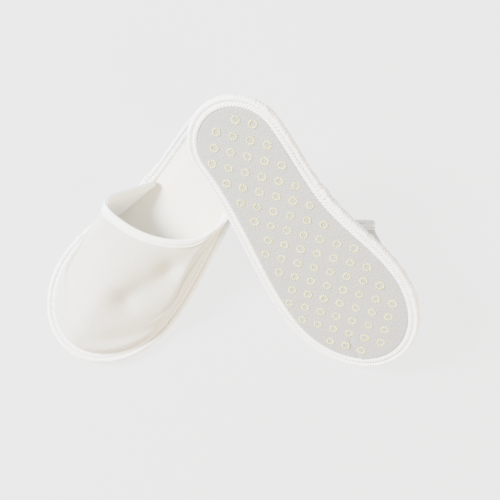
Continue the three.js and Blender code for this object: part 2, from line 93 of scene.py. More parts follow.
# How each slipper lies, in the pair's frame: the turned one at the lean and height where the solids touch.
# Rim ends are distances from the toe. Corners and folds are (from the toe, in from the sole's edge, height);
# the rim between its corners and the toe's fold are (from the toe, share of half the ball width, height).
SLIPPERS = {
    "upright": {
        "at": (28.843, 111.630, 0.0), "heading": 141.3, "pitch": 0.0, "roll": 0.0,
        "ends": (173, 201), "inner_rise": [], "inner_corner": (130, 1.3, 49),
        "rim": [(130, 0.08, 56), (154, -0.54, 56)], "outer_corner": (191, 0.5, 51),
        "inner_fold": [(86, 14, 36), (52, 14, 23)],
        "toe_fold": (16, 0, 20), "outer_fold": [(74, 12, 22), (125, 10, 37)],
    },
    "turned": {
        "at": (-20.786, 90.463, 112.451), "heading": 218.4, "pitch": -18.336, "roll": 213.8,
        "ends": (172, 201), "inner_rise": [(150, 18, 28), (123, 22, 43)], "inner_corner": (113, 8.5, 47),
        "rim": [(125, 0.34, 52), (142, -0.26, 52)], "outer_corner": (181, 8, 44),
        "inner_fold": [(103, 21, 40), (82, 20, 32), (51, 15, 23)],
        "toe_fold": (16, 0, 20), "outer_fold": [(74, 12, 21), (125, 10, 33)],
    },
}

# Soft folds in each vamp: (from, to, width, depth) in plan; a negative depth sinks.
FOLDS = {
    "upright": [
        ((-40, 142), (-33, 168), 9, -2.4), ((-33, 168), (-20, 212), 12, -5.2),
        ((-17, 214), (-7, 236), 12, -2.0), ((-50, 165), (-47, 200), 6, 1.0),
        ((12, 150), (20, 205), 20, 1.6),
    ],
    "turned": [((8, 160), (2, 220), 16, -2.0), ((-26, 156), (-30, 205), 13, 1.2)],
}

# A fold in the turned slipper's sole cloth, in plan.
PLEAT = np.array([(-21.5, 270.0), (-20.3, 263.0), (-17.4, 250.4), (-8.6, 236.3)])


# ---------------------------------------------------------------- small maths

def smooth(lo, hi, x):
    """0 at lo, 1 at hi, and an even ease between them."""
    t = np.clip((np.asarray(x, float) - lo) / (hi - lo), 0, 1)
    return t * t * (3 - 2 * t)


def unit(v):
    return v / np.maximum(np.linalg.norm(v, axis=-1, keepdims=True), 1e-9)


def ripple(x, y, size, seed):
    """Smooth seeded undulation between about -1 and 1, with features of the given size."""
    rng = np.random.default_rng(seed)
    total = np.zeros(np.broadcast(x, y).shape)
    for _ in range(7):
        angle, phase = rng.uniform(0, math.tau, 2)
        k = math.tau / (size * rng.uniform(0.75, 1.6))
        total = total + np.sin(k * (np.cos(angle) * x + np.sin(angle) * y) + phase)
    return total / 4


def distances(points):
    """How far along the polyline each of its points is."""
    return np.concatenate([[0], np.cumsum(np.linalg.norm(np.diff(points, axis=0), axis=1))])


def sampled(values, along, wanted):
    """Rows of values that are known at distances along a line, at the wanted distances."""
    return np.stack([np.interp(wanted, along, values[:, k]) for k in range(values.shape[1])], axis=-1)


def along_curve(points, closed=False):
    """A function of a fraction that gives the point at that share of the polyline's length."""
    pts = np.asarray(points, float)
    if closed:
        pts = np.vstack([pts, pts[:1]])
    s = distances(pts)

    def at(f):
        f = np.asarray(f, float)
        return sampled(pts, s, (f % 1.0 if closed else np.clip(f, 0, 1)) * s[-1])

    at.length = s[-1]
    return at


def catmull(points, closed=False, steps=60):
    """A centripetal Catmull-Rom curve through the points, as a fine polyline."""
    p = np.asarray(points, float)
    n = len(p)
    if closed:
        p = np.vstack([p[-1:], p, p[:2]])
    else:
        p = np.vstack([2 * p[0] - p[1], p, 2 * p[-1] - p[-2]])
    out = []
    t = np.linspace(0, 1, steps, endpoint=False)[:, None]
    for i in range(n if closed else n - 1):
        p0, p1, p2, p3 = p[i:i + 4]
        pairs = ((p0, p1), (p1, p2), (p2, p3))
        d0, d1, d2 = (max(np.linalg.norm(b - a) ** 0.5, 1e-6) for a, b in pairs)
        m1 = ((p1 - p0) / d0 - (p2 - p0) / (d0 + d1) + (p2 - p1) / d1) * d1
        m2 = ((p2 - p1) / d1 - (p3 - p1) / (d1 + d2) + (p3 - p2) / d2) * d1
        out.append((2 * t**3 - 3 * t**2 + 1) * p1 + (t**3 - 2 * t**2 + t) * m1
                   + (-2 * t**3 + 3 * t**2) * p2 + (t**3 - t**2) * m2)
    if not closed:
        out.append(p[-2][None])
    return np.vstack(out)


# ---------------------------------------------------------------- the sole's outline

def sole_outline():
    """The outline in plan, as a function of the fraction of the way round from the ball's big-toe side."""
    ball, heel = BALL_WIDTH / 2, HEEL_WIDTH / 2
    line = SOLE_LENGTH - TOE_LENGTH
    waist, span = (heel + line) / 2, line - heel
    reach = span / 3

    def bezier(a, b, c, d):
        t = np.linspace(0, 1, 400, endpoint=False)[:, None]
        a, b, c, d = (np.array(v) for v in (a, b, c, d))
        return (1 - t)**3 * a + 3 * t * (1 - t)**2 * b + 3 * t * t * (1 - t) * c + t**3 * d

    turn = np.linspace(0, math.pi, 700, endpoint=False)
    toe = np.stack([ball * np.cos(turn), line + TOE_LENGTH * np.sin(turn)], 1)
    back = np.stack([HEEL_SHIFT + heel * np.cos(turn + math.pi), heel + heel * np.sin(turn + math.pi)], 1)
    left, right = HEEL_SHIFT - heel, HEEL_SHIFT + heel
    outer = bezier((-ball, line), (-ball, line - reach), (left, heel + reach), (left, heel))
    inner = bezier((right, heel), (right, heel + reach), (ball, line - reach), (ball, line))
    pts = np.vstack([toe, outer, back, inner])
    away = (pts[:, 1] - waist) / span
    hollow = np.where((pts[:, 0] > 0) & (np.abs(away) < 0.5), WAIST_HOLLOW * np.cos(math.pi * away)**2, 0)
    pts[:, 0] -= hollow
    return along_curve(pts, closed=True)


outline = sole_outline()
PERIMETER = outline.length


def edge_way(f):
    """The unit direction of the sole's edge in plan."""
    return unit(outline(f + 0.004) - outline(f - 0.004))


def edge_point(f, inset, z=0.0):
    """A point inset from the sole's edge, at a fraction of the way round from the big-toe side over the toe."""
    f, inset, z = np.broadcast_arrays(np.asarray(f, float), inset, z)
    at = outline(f)
    way = edge_way(f)
    return np.stack([at[..., 0] - way[..., 1] * inset, at[..., 1] + way[..., 0] * inset, z], axis=-1)


def outward(f):
    way = edge_way(f)
    return np.stack([way[..., 1], -way[..., 0], np.zeros_like(way[..., 0])], axis=-1)


def edge_loop(inset, count=900):
    """Evenly spaced plan points round a line inset from the sole's edge."""
    return edge_point(np.linspace(0, 1, count, endpoint=False), inset)[:, :2]


def fraction_at(side, from_toe):
    """The fraction where the big-toe side (1) or the other side (-1) is this far from the toe."""
    f = np.linspace(0, 1, 4000, endpoint=False)
    p = outline(f)
    miss = np.abs(SOLE_LENGTH - p[:, 1] - from_toe) + np.where(np.sign(p[:, 0] - HEEL_SHIFT) == side, 0, 1e6)
    best = f[np.argmin(miss)]
    return best - 1 if side > 0 and best > 0.5 else best


# ---------------------------------------------------------------- meshes

def placed(slipper):
    """The matrix that puts a slipper's own frame into the pair's frame."""
    lie = SLIPPERS[slipper]
    heading, pitch, roll = (math.radians(lie[turn]) for turn in ("heading", "pitch", "roll"))
    turned = Matrix.Rotation(heading, 4, "Z") @ Matrix.Rotation(pitch, 4, "X") @ Matrix.Rotation(roll, 4, "Y")
    return np.array(Matrix.Translation(Vector(lie["at"])) @ turned)


def build(name, slipper, points, faces, uv, material, replaces=()):
    """A piece from points in the slipper's frame, with one uv pair for each point, in centimetres."""
    pts = np.asarray(points, float).reshape(-1, 3)
    m = placed(slipper)
    world = (pts @ m[:3, :3].T + m[:3, 3]) / 1000
    mesh = bpy.data.meshes.new(name)
    mesh.from_pydata(world.tolist(), [], [tuple(int(i) for i in f) for f in faces])
    layer = mesh.uv_layers.new(name="cloth")
    corner = np.empty(len(mesh.loops), dtype=np.int32)
    mesh.loops.foreach_get("vertex_index", corner)
    layer.data.foreach_set("uv", np.asarray(uv, float).reshape(-1, 2)[corner].ravel())
    mesh.validate()
    mesh.shade_smooth()
    obj = bpy.data.objects.new(name, mesh)
    bpy.context.scene.collection.objects.link(obj)
    mesh.materials.append(material)
    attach(obj, f"{slipper}_slipper")
    if replaces:
        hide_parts(*replaces)
    return obj


def fix_normals(piece):
    bm = bmesh.new()
    bm.from_mesh(piece.data)
    bmesh.ops.recalc_face_normals(bm, faces=bm.faces)
    bm.to_mesh(piece.data)
    bm.free()


def grid_faces(nu, nv, start=0, wrap_u=False, wrap_v=False, flip=False):
    """Four-sided faces of a grid of nu by nv points, joined up at the ends where it wraps."""
    u = np.arange(nu if wrap_u else nu - 1)
    v = np.arange(nv if wrap_v else nv - 1)
    uu, vv = (a.ravel() for a in np.meshgrid(u, v, indexing="ij"))
    u2, v2 = (uu + 1) % nu, (vv + 1) % nv
    quads = np.stack([uu * nv + vv, u2 * nv + vv, u2 * nv + v2, uu * nv + v2], 1) + start
    return quads[:, ::-1] if flip else quads


def shell(outer, inner):
    """Closed points and faces from two grids of the same size, outer above inner."""
    nu, nv = outer.shape[:2]
    n = nu * nv
    faces = [grid_faces(nu, nv), grid_faces(nu, nv, n, flip=True)]
    u, v = np.arange(nu - 1), np.arange(nv - 1)
    for a, b in ((u * nv, (u + 1) * nv), ((u + 1) * nv + nv - 1, u * nv + nv - 1)):
        faces.append(np.stack([b, a, a + n, b + n], 1))
    last = (nu - 1) * nv
    for a, b in ((v + 1, v), (last + v, last + v + 1)):
        faces.append(np.stack([b, a, a + n, b + n], 1))
    return np.vstack([outer.reshape(-1, 3), inner.reshape(-1, 3)]), np.vstack(faces)


# ---------------------------------------------------------------- sole cloths and cushion

def sole_grid(inset, stations=190, across=76):
    """Plan points of a sheet with the sole's shape, as a grid from heel to toe and from side to side."""
    count = 4000
    loop = edge_loop(inset, count)
    low, high = loop[:, 1].argmin(), loop[:, 1].argmax()
    order = np.roll(np.arange(count), -high)
    split = np.where(order == low)[0][0]
    left, right = loop[order[:split + 1]], loop[np.append(order[split:], order[0])]
    y = loop[low, 1] + (loop[high, 1] - loop[low, 1]) * (1 - np.cos(np.linspace(0, math.pi, stations))) / 2
    xl = np.interp(y, left[::-1, 1], left[::-1, 0])
    xr = np.interp(y, right[:, 1], right[:, 0])
    t = (1 - np.cos(np.linspace(0, math.pi, across))) / 2
    t = 0.5 * t + 0.5 * np.linspace(0, 1, across)
    x = xl[:, None] + (xr - xl)[:, None] * t
    return x, np.repeat(y[:, None], across, axis=1)


def nearest_edge(x, y):
    """How far inside the sole's edge each plan point is, and how far round the edge its nearest point is."""
    f = np.linspace(0, 1, 900, endpoint=False)
    loop = edge_point(f, 0)[:, :2]
    flat = np.stack([x.ravel(), y.ravel()], 1)
    best = np.full(len(flat), 1e9)
    nearest = np.zeros(len(flat), int)
    for part in np.array_split(np.arange(len(loop)), 9):
        squares = ((flat[:, None] - loop[None, part]) ** 2).sum(2)
        i = squares.argmin(1)
        value = squares[np.arange(len(flat)), i]
        closer = value < best
        best[closer] = value[closer]
        nearest[closer] = part[i[closer]]
    return np.sqrt(best).reshape(x.shape), (f[nearest] * PERIMETER).reshape(x.shape)


def both_sides(uv):
    """The same uv for the outer and the inner points of a shell."""
    flat = uv.reshape(-1, 2)
    return np.vstack([flat, flat])


def insole(slipper, materials):
    """The padded footbed: a crowned cushion with a flat sewn border, and soft hollows where it was pressed."""
    x, y = sole_grid(2.4)
    inside, _ = nearest_edge(x, y)
    crown = smooth(BINDING_WIDTH + 0.5, BINDING_WIDTH + CROWN_MARGIN + CROWN_SLOPE + 9, inside)
    relief = 0.30 * ripple(x, y, 62, 4) + 0.10 * ripple(x, y, 21, 5)
    dome = 0.7 * smooth(14, 46, inside)
    top = INSOLE_EDGE + (INSOLE_TOP - INSOLE_EDGE - 0.1 + relief) * crown + dome * 0.6
    top = np.where(inside < BINDING_WIDTH + 0.5, INSOLE_EDGE, top)
    under = np.full_like(x, 2.6)
    pts, faces = shell(np.stack([x, y, top], -1), np.stack([x, y, under], -1))
    uv = both_sides(np.stack([x, y], -1) / 10)
    piece = build(f"{slipper}_footbed", slipper, pts, faces, uv, materials["insole"],
                  [f"{slipper}_{n}" for n in ("insole_cloth", "insole_pad", "foam_board")])


def outsole_height(x, y, inside, round_edge, slipper):
    """Height of the sole cloth's underside over the floor the sole would stand on."""
    z = 0.95 + 0.22 * ripple(x, y, 48, 11) + 0.08 * ripple(x, y, 15, 12)
    gather = np.sin(math.tau * round_edge / 5.2 + 1.5 * ripple(x, y, 60, 13))
    z = z + 0.10 * gather * (1 - smooth(BINDING_WIDTH, BINDING_WIDTH + 9, inside))
    if slipper == "turned":
        curve = catmull(PLEAT, steps=30)
        gap = np.sqrt(((np.stack([x, y], -1)[..., None, :] - curve) ** 2).sum(-1))
        near = gap.argmin(-1)
        dist = gap.min(-1)
        share = near / (len(curve) - 1)
        side = x - curve[near][..., 0]
        fade = smooth(1.0, 0.55, share) * smooth(0, 0.06, 1 - share)
        lip = smooth(-0.6, 0.6, side) * np.exp(-(dist / 6) ** 2)
        z = z - 0.75 * fade * lip + 1.0 * fade * np.exp(-((side + 2.2) / 1.8) ** 2) * (dist < 9)
    return np.clip(z, 0.2, 2.0)


def outsole(slipper, materials):
    """The sole cloth, stretched between the tape's edges."""
    x, y = sole_grid(3.4, 300, 170)
    inside, round_edge = nearest_edge(x, y)
    under = outsole_height(x, y, inside, round_edge, slipper)
    under = under + 0.9 * (1 - smooth(BINDING_WIDTH - 1.5, BINDING_WIDTH + 2.5, inside))
    pts, faces = shell(np.stack([x, y, under + 0.6], -1), np.stack([x, y, under], -1))
    uv = both_sides(np.stack([x, y], -1) / 10)
    piece = build(f"{slipper}_sole_cloth", slipper, pts, faces, uv, materials["outsole"],
                  [f"{slipper}_outsole_cloth"])


def grip_spots():
    """Middles of the grip marks: a square lattice set askew to the slipper, kept clear of the tape."""
    reach = math.ceil(SOLE_LENGTH / DOT_PITCH)
    steps = np.arange(-reach, reach + 1)
    row, column = (a.ravel() for a in np.meshgrid(steps, steps, indexing="ij"))
    row, column = DOT_START[0] + DOT_PITCH * row, DOT_START[1] + DOT_PITCH * column
    cos, sin = math.cos(math.radians(DOT_TURN)), math.sin(math.radians(DOT_TURN))
    spots = np.stack([row * cos - column * sin, row * sin + column * cos], 1)
    # a spot is inside the loop when a line from it to one side crosses the loop an odd number of times
    a = edge_loop(BINDING_WIDTH + DOT_MARGIN)
    b = np.roll(a, -1, axis=0)
    x, y = spots[:, None, 0], spots[:, None, 1]
    level = (a[:, 1] > y) != (b[:, 1] > y)
    beyond = x < (b - a)[:, 0] * (y - a[:, 1]) / (b - a)[:, 1] + a[:, 0]
    return spots[(level & beyond).sum(1) % 2 == 1]


def bead():
    """Points and faces of one bead of unit size: a flattened dome of three rings and a pole, closed below."""
    turn = np.linspace(0, math.tau, BEAD_SIDES, endpoint=False)
    levels = [(1.0, 0.0), (0.86, 0.55), (0.45, 0.92)]      # each ring's radius and height
    rings = [np.stack([r * np.cos(turn), r * np.sin(turn), np.full(BEAD_SIDES, h)], 1) for r, h in levels]
    pole = BEAD_SIDES * len(levels)
    faces = []
    for level in range(len(levels)):
        for i in range(BEAD_SIDES):
            here, beside = (BEAD_SIDES * level + k for k in (i, (i + 1) % BEAD_SIDES))
            above = (pole,) if level == len(levels) - 1 else (beside + BEAD_SIDES, here + BEAD_SIDES)
            faces.append((here, beside, *above)[::-1])
    faces.append(tuple(range(BEAD_SIDES)))
    return np.vstack([*rings, [[0, 0, 1.0]]]), faces


def grips(slipper, materials):
    """Printed grip marks: each a ring of small soft beads on the sole cloth."""
    rng = np.random.default_rng(21)
    clear_of_gathers = np.array([30.0])
    dome, dome_faces = bead()
    points, faces, uv = [], [], []
    for cx, cy in grip_spots():
        size = rng.uniform(0.92, 1.06)
        offset = rng.uniform(0, math.tau)
        for k in range(BEADS):
            angle = offset + math.tau * k / BEADS + rng.normal(0, 0.05)
            ring_radius = GRIP_RADIUS * size * rng.uniform(0.95, 1.05)
            bx, by = cx + ring_radius * math.cos(angle), cy + ring_radius * math.sin(angle)
            radius = BEAD_RADIUS * size * rng.uniform(0.85, 1.15)
            spot = np.array([bx]), np.array([by])
            foot = float(outsole_height(*spot, clear_of_gathers, np.zeros(1), slipper)[0]) + 0.05
            tall = max(foot - 0.12 - rng.uniform(0, 0.06), 0.3)
            start = len(points)
            points.extend((bx + radius * p[0], by + radius * p[1], foot - tall * p[2]) for p in dome)
            uv.extend((bx / 10, by / 10) for _ in dome)
            faces.extend(tuple(start + i for i in face) for face in dome_faces)
    build(f"{slipper}_grip_rings", slipper, points, faces, uv, materials["grip"])


# ---------------------------------------------------------------- binding tape

def tape_section(top):
    """The tape's rounded outline, (inset, height), from its edge on the sole cloth round to the footbed."""
    return np.array([
        (9.15, 1.95), (8.9, 1.05), (8.1, 0.5), (7.0, 0.38), (5.9, 0.7), (5.15, 1.5), (4.65, 2.1), (4.2, 1.5),
        (3.4, 0.7), (2.2, 0.45), (0.9, 1.1), (0.05, 2.6), (-0.15, 4.3), (0.05, top - 2.4), (0.8, top - 1.0),
        (2.0, top - 0.2), (3.3, top - 0.25), (4.2, top - 0.95), (4.65, top - 1.45), (5.1, top - 0.95),
        (6.0, top - 0.2), (7.2, top - 0.1), (8.3, top - 0.3), (9.0, top - 0.85), (9.1, top - 1.35),
    ])


def held_by_tape(f, slipper):
    """1 where the tape also holds the vamp's edge, 0 round the heel."""
    inner, outer = SLIPPERS[slipper]["ends"]
    start, end = fraction_at(1, inner), fraction_at(-1, outer)
    g = np.where(f > 0.5, f - 1, f)
    return smooth(start - 0.014, start + 0.012, g) * (1 - smooth(end - 0.012, end + 0.014, g))


def binding(slipper, materials):
    """The folded tape round the sole: its outline swept along the edge, gathered by the stitches."""
    around = 1500
    f = np.arange(around) / around
    along = (f * PERIMETER)[:, None]
    join = (fraction_at(1, SOLE_LENGTH - TAPE_JOIN) % 1.0) * PERIMETER
    near_join = np.exp(-((along - join) / 9.0) ** 2)
    # the profile, swept with the height of the top leg
    low, high = (catmull(tape_section(TAPE_TOP + TAPE_LIFT * t), steps=3) for t in (0, 1))
    profile = low[None] + held_by_tape(f, slipper)[:, None, None] * (high - low)[None]
    count = profile.shape[1]
    inset, z = profile[..., 0], profile[..., 1]
    # outward normal of the profile, in the (inset, height) plane
    way = unit(np.gradient(profile, axis=1))
    out = np.stack([way[..., 1], -way[..., 0]], -1)
    middle = np.array([4.5, 4.4])
    if ((profile - middle) * out).sum(-1).mean() < 0:
        out = -out
    share = np.linspace(0, 1, count)[None]
    length = np.linspace(0, 30, count)[None]
    sway = 2.2 * ripple(along, 0 * along, 40, 31)
    # small slanting gathers pulled by each stitch, larger soft ones on the outer roll
    slant = np.sin(math.tau * (along + sway + 0.75 * np.abs(inset - TAPE_GROOVE)) / STITCH_PITCH)
    leg = np.exp(-((inset - 6.8) / 2.3) ** 2)
    roll = 1 - smooth(0.5, 4.0, inset)
    puffs = ripple(along, 3.0 * length, 11, 32) + 0.6 * ripple(along, 2.0 * length, 5.5, 33)
    strength = 1 + 1.6 * near_join
    bump = 0.34 * slant * leg * strength + 0.30 * puffs * roll * strength + 0.13 * slant * roll
    lap = 0.4 + 0.6 * np.sin(math.tau * along / 4.3)
    bump += 0.5 * near_join * lap * smooth(0, 0.15, share) * smooth(1, 0.85, share)
    bump += 0.22 * ripple(along, 0 * along, 85, 34)
    bump = bump * smooth(0, 0.05, share) * smooth(1, 0.95, share)
    bump = np.where(z < 2.0, np.minimum(bump, z - 0.15), bump)      # the under side keeps off the floor
    outer = edge_point(f[:, None], inset + out[..., 0] * bump, np.maximum(z + out[..., 1] * bump, 0.12))
    # inner face, a cloth's thickness inside
    core = profile - out * 0.55
    inner = edge_point(f[:, None], core[..., 0], core[..., 1])
    ring = np.concatenate([outer, inner[:, ::-1]], axis=1)
    faces = grid_faces(around, 2 * count, wrap_u=True, wrap_v=True)
    u = np.repeat(along / 10, 2 * count, axis=1)
    v = np.concatenate([length, length[:, ::-1]], axis=1) / 10 + 0 * along
    piece = build(f"{slipper}_binding_tape", slipper, ring, faces, np.stack([u, v], -1), materials["tape"],
                  [f"{slipper}_sole_binding"])
    fix_normals(piece)


def stitches(name, slipper, path, normal, thick, materials, replaces, closed=True):
    """A row of lockstitches: short tight loops of thread that dip into the cloth between needle holes."""
    path, normal = np.asarray(path, float), unit(np.asarray(normal, float))
    if closed:
        path, normal = np.vstack([path, path[:1]]), np.vstack([normal, normal[:1]])
    s = distances(path)
    count = int(s[-1] / STITCH_PITCH)
    pitch = s[-1] / count
    rings, sides = 7, 6
    t = np.linspace(0, 1, rings)
    starts = (np.arange(count) + 0.5) * pitch
    span = 0.78 * pitch
    d = starts[:, None] + (t - 0.5)[None] * span
    centre = sampled(path, s, d)
    up = unit(sampled(normal, s, d))
    way = unit(np.gradient(centre, axis=1))
    side = unit(np.cross(way, up))
    arch = np.sin(math.pi * t)
    centre = centre + up * (thick * (0.9 * arch - 0.45))[None, :, None]
    width = (thick / 2 * (0.55 + 0.45 * arch ** 0.5))[None, :, None, None]
    a = np.linspace(0, math.tau, sides, endpoint=False)
    cos, sin = np.cos(a)[None, None, :, None], np.sin(a)[None, None, :, None]
    ring = centre[:, :, None] + side[:, :, None] * (cos * width) + up[:, :, None] * (sin * 0.8 * width)
    faces = []
    base = grid_faces(rings, sides, wrap_v=True)
    for k in range(count):
        start = k * rings * sides
        faces.extend((base + start).tolist())
        faces.append([start + i for i in range(sides)])
        faces.append([start + (rings - 1) * sides + i for i in reversed(range(sides))])
    uv = np.stack([np.repeat(d, sides, axis=1).ravel() / 10, np.tile(a / 10, count * rings)], -1)
    piece = build(name, slipper, ring.reshape(-1, 3), faces, uv, materials["thread"], replaces)
    fix_normals(piece)


def binding_stitches(slipper, materials):
    """The tape's row of stitches, seen on the footbed's side and on the sole cloth's."""
    f = np.arange(1200) / 1200
    groove = TAPE_GROOVE + 0.18 * ripple(f * PERIMETER, 0 * f, 30, 41)
    top = TAPE_TOP + TAPE_LIFT * held_by_tape(f, slipper)
    up = np.tile([0.0, 0, 1], (len(f), 1))
    for face, height, normal in (("top", top - 1.1, up), ("under", 1.6, -up)):
        stitches(f"{slipper}_tape_stitches_{face}", slipper, edge_point(f, groove, height), normal, TAPE_THREAD,
                 materials, [f"{slipper}_binding_stitch_{face}"])


# ---------------------------------------------------------------- vamp

def softened(line, spread):
    """A column blurred along its length, by a bell curve of the given spread in steps."""
    radius = int(max(3, 3 * spread))
    bell = np.exp(-0.5 * (np.arange(-radius, radius + 1) / spread) ** 2)
    bell /= bell.sum()
    before = 2 * line[0] - line[radius:0:-1]
    after = 2 * line[-1] - line[-2:-radius - 2:-1]
    longer = np.vstack([before, line, after])
    return np.stack([np.convolve(longer[:, k], bell, mode="valid") for k in range(3)], -1)


def vamp_columns(slipper, nu=221, nv=90):
    """The vamp's outer face, in columns from the rim's inner end over the toe to its outer end.

    Each column runs from the tape to the rim. With the columns come their shares of the way round the vamp's
    foot, and for each its fold: the distance from the tape, and how near the fold is to a rim corner.
    """
    v = SLIPPERS[slipper]
    start, end = fraction_at(1, v["ends"][0]), fraction_at(-1, v["ends"][1])

    def beside(side, spot):
        return edge_point(fraction_at(side, spot[0]), spot[1], spot[2])

    def over(spot):
        return np.array([spot[1] * BALL_WIDTH / 2, SOLE_LENGTH - spot[0], spot[2]])

    def foot(u):
        return edge_point(start + (end - start) * u, BINDING_WIDTH + WALL_INSET, VAMP_FOOT)

    def towards(a, b, distance):
        return a + (b - a) * min(distance / np.linalg.norm(b - a), 0.85)

    inner, outer = beside(1, v["inner_corner"]), beside(-1, v["outer_corner"])
    corner_in = (fraction_at(1, v["inner_corner"][0] - CORNER_LEAD) - start) / (end - start)
    corner_out = (fraction_at(-1, v["outer_corner"][0] - CORNER_LEAD) - start) / (end - start)
    rise = np.array([0, 0, RIM_FOOT])
    rim = along_curve(catmull([foot(0) + rise, *[beside(1, p) for p in v["inner_rise"]], inner,
                               *map(over, v["rim"]), outer, foot(1) + rise]))
    fine = np.linspace(0, 1, 2001)
    rim_pts = rim(fine)
    rim_in = fine[np.linalg.norm(rim_pts - inner, axis=1).argmin()]
    rim_out = fine[np.linalg.norm(rim_pts - outer, axis=1).argmin()]
    fold = along_curve(catmull([
        towards(inner, foot(corner_in), FOLD_DROP), *[beside(1, p) for p in v["inner_fold"]],
        over(v["toe_fold"]), *[beside(-1, p) for p in v["outer_fold"]],
        towards(outer, foot(corner_out), FOLD_DROP)]))
    u = np.linspace(0, 1, nu)
    rows = np.empty((nu, nv, 3))
    ridge = np.zeros((nu, 2))
    for i, ui in enumerate(u):
        base = foot(ui)
        f = start + (end - start) * ui
        between = np.clip((ui - corner_in) / (corner_out - corner_in), 0, 1)      # from corner to corner
        turn = rim_in + (rim_out - rim_in) * between
        if ui < corner_in:
            turn = rim_in * ui / corner_in
        if ui > corner_out:
            turn = rim_out + (1 - rim_out) * (ui - corner_out) / (1 - corner_out)
        top = rim(turn)
        on_top = corner_in < ui < corner_out
        crease = fold(between) if on_top else towards(top, base, FOLD_DROP)
        away = outward(np.array(f))
        height = crease[2] - base[2]
        t = np.linspace(0, 1, 40)[:, None]
        wall = base + (crease - base) * t + away * min(WALL_BULGE, 0.1 * height) * np.sin(math.pi * t)
        run = np.linalg.norm(top - crease)
        over_top = crease + (top - crease) * t + np.array([0, 0, TOP_BULGE * run]) * np.sin(math.pi * t)
        flange = edge_point(f, np.linspace(4.5, BINDING_WIDTH + WALL_INSET, 8), VAMP_FOOT)[:-1]
        line = np.vstack([flange, wall, over_top[1:]])      # the fold is at the wall's last point
        length = distances(line)
        ridge[i] = length[len(flange) + len(wall) - 1], (abs(2 * between - 1) if on_top else 0)
        even = np.linspace(0, length[-1], 240)
        line = sampled(line, length, even)
        # round the fold: sharp near the rim's corners, broad towards the toe
        toe = math.sin(math.pi * between) ** 3 if on_top else 0
        soft = softened(line, (0.6 + 5.5 * toe) / (even[1] + 1e-9))
        # keep the foot where the tape holds it
        hold = smooth(0, 9, even)[:, None]
        line = line * (1 - hold) + soft * hold
        length = distances(line)
        rows[i] = sampled(line, length, np.linspace(0, length[-1], nv))
    # smooth along the rim direction so that neighbouring columns flow into each other
    for _ in range(5):
        rows[1:-1] = 0.5 * rows[1:-1] + 0.25 * (rows[:-2] + rows[2:])
    return u, rows, ridge


def grid_normals(p):
    du = np.gradient(p, axis=0)
    dv = np.gradient(p, axis=1)
    return unit(np.cross(du, dv))


def grid_lengths(p):
    """Distances along the rows from the first column, and along each column from the tape, in millimetres."""
    across = np.cumsum(np.linalg.norm(np.diff(p, axis=0), axis=2), axis=0)
    up = np.cumsum(np.linalg.norm(np.diff(p, axis=1), axis=2), axis=1)
    return np.vstack([np.zeros((1, p.shape[1])), across]), np.hstack([np.zeros((p.shape[0], 1)), up])


def gaussian_line(x, y, a, b, width):
    """1 on the plan segment from a to b, falling off over the width, and easing out at both ends."""
    a, b = np.array(a, float), np.array(b, float)
    way = b - a
    t = ((x - a[0]) * way[0] + (y - a[1]) * way[1]) / (way @ way)
    c = np.clip(t, 0, 1)
    d2 = (x - a[0] - c * way[0]) ** 2 + (y - a[1] - c * way[1]) ** 2
    return np.exp(-d2 / width ** 2)


def vamp_relief(slipper, p, u, along, from_tape, ridge):
    """How far each point stands off the plain surface: soft folds, gathers at the tape, slight unevenness."""
    x, y = p[..., 0], p[..., 1]
    relief = np.zeros(x.shape)
    free = smooth(8, 26, from_tape) * smooth(0, 10, from_tape[:, -1:] - from_tape)
    for a, b, width, depth in FOLDS[slipper]:
        relief += depth * gaussian_line(x, y, a, b, width) * free
    # the cloth is pinched along the fold near the rim's corners, and less towards the toe
    off = from_tape - ridge[:, :1]
    pinch = smooth(0.15, 0.7, ridge[:, 1:]) * smooth(1.0, 0.96, ridge[:, 1:])
    relief += pinch * (1.5 * np.exp(-(off / 1.6) ** 2) - 1.0 * np.exp(-((off - 5.5) / 3.5) ** 2)) * free
    # the padded cloth bellies out over the tape round the toe
    relief += 5.2 * np.exp(-((u - 0.5) / 0.17) ** 2)[:, None] * np.exp(-((from_tape - 14.5) / 6.5) ** 2)
    # tucks and finer gathers where the cloth is eased into the tape
    foot = along[:, :1]
    toe = np.exp(-(((u - 0.47) / 0.27) ** 2))[:, None]
    phase = foot + 2.4 * ripple(foot, 0 * foot, 55, 51)
    tuck = np.sin(math.tau * phase / 9.5) * (0.6 + 0.4 * ripple(foot, 0 * foot, 33, 52))
    relief += 0.34 * tuck * toe * np.exp(-((from_tape - 9) / 8.0) ** 2)
    relief += 0.14 * np.sin(math.tau * phase / 4.3) * np.exp(-((from_tape - 7) / 4.5) ** 2)
    relief += (0.35 * ripple(x, y, 44, 53) + 0.12 * ripple(x + p[..., 2], y, 16, 54)) * free
    return relief


def from_distance(grid, from_tape, start):
    """The grid with each column begun again at a distance from the tape."""
    rows = []
    for column, d in zip(grid, from_tape):
        rows.append(sampled(column, d, np.linspace(start, d[-1], len(d))))
    return np.array(rows)


